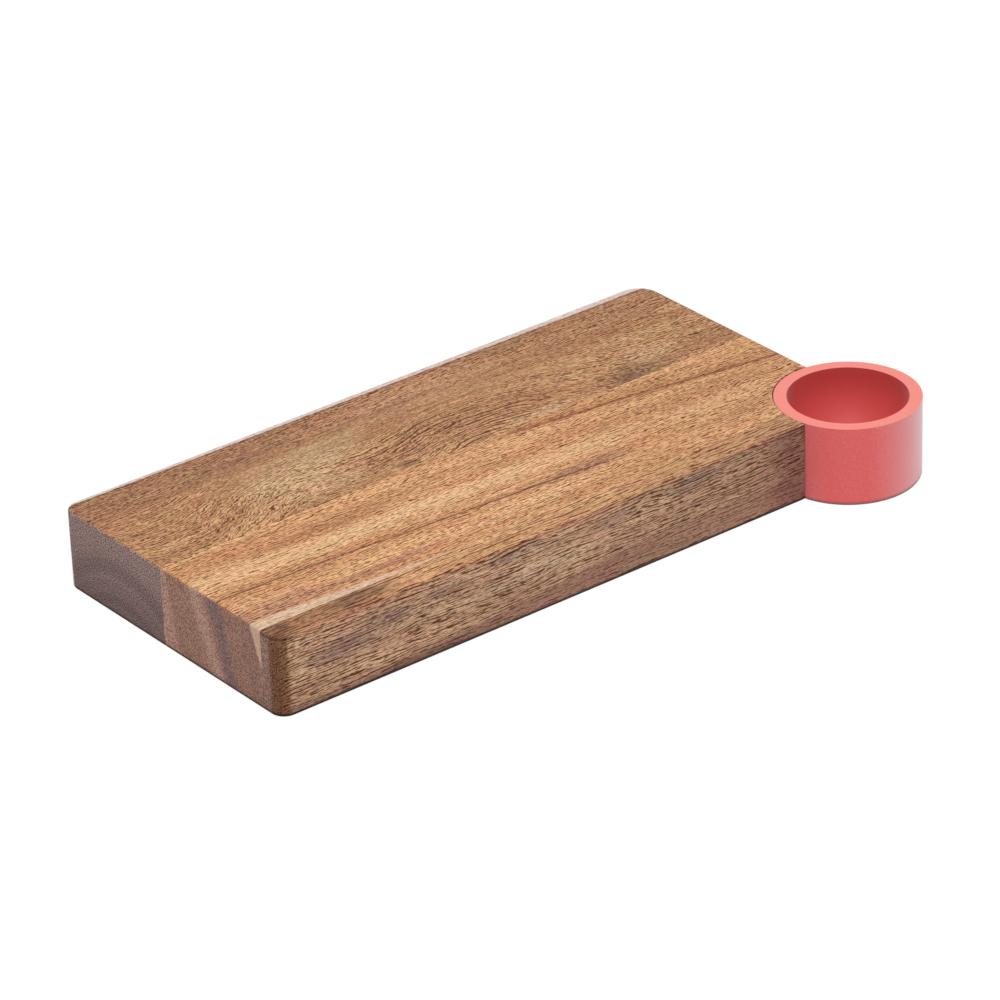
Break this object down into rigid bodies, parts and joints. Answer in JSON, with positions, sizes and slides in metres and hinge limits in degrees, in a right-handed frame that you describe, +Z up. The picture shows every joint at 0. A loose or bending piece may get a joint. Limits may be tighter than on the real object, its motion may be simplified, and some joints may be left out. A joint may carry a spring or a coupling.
{
  "type": "serving board with dip bowl",
  "caption": "Thick rectangular hardwood serving board, edge-glued from staves, with a round notch in one corner that holds a loose coral dip bowl.",
  "frame": {"origin": "middle of the board's underside, at the centre of its plan rectangle before the notch is cut", "axes": "+X along the board's length towards the end with the notch, +Y across it towards the back edge, +Z up"},
  "size_m": [0.3518, 0.1801, 0.038],
  "materials": {
    "dark_wood": "oiled satin",
    "golden_wood": "oiled satin",
    "edge_wood": "oiled satin",
    "coral": "matte"
  },
  "bodies": {
    "root": {"back_stave": "dark_wood", "middle_stave": "golden_wood", "front_stave": "edge_wood", "dip_bowl": "coral"}
  },
  "joints": []
}
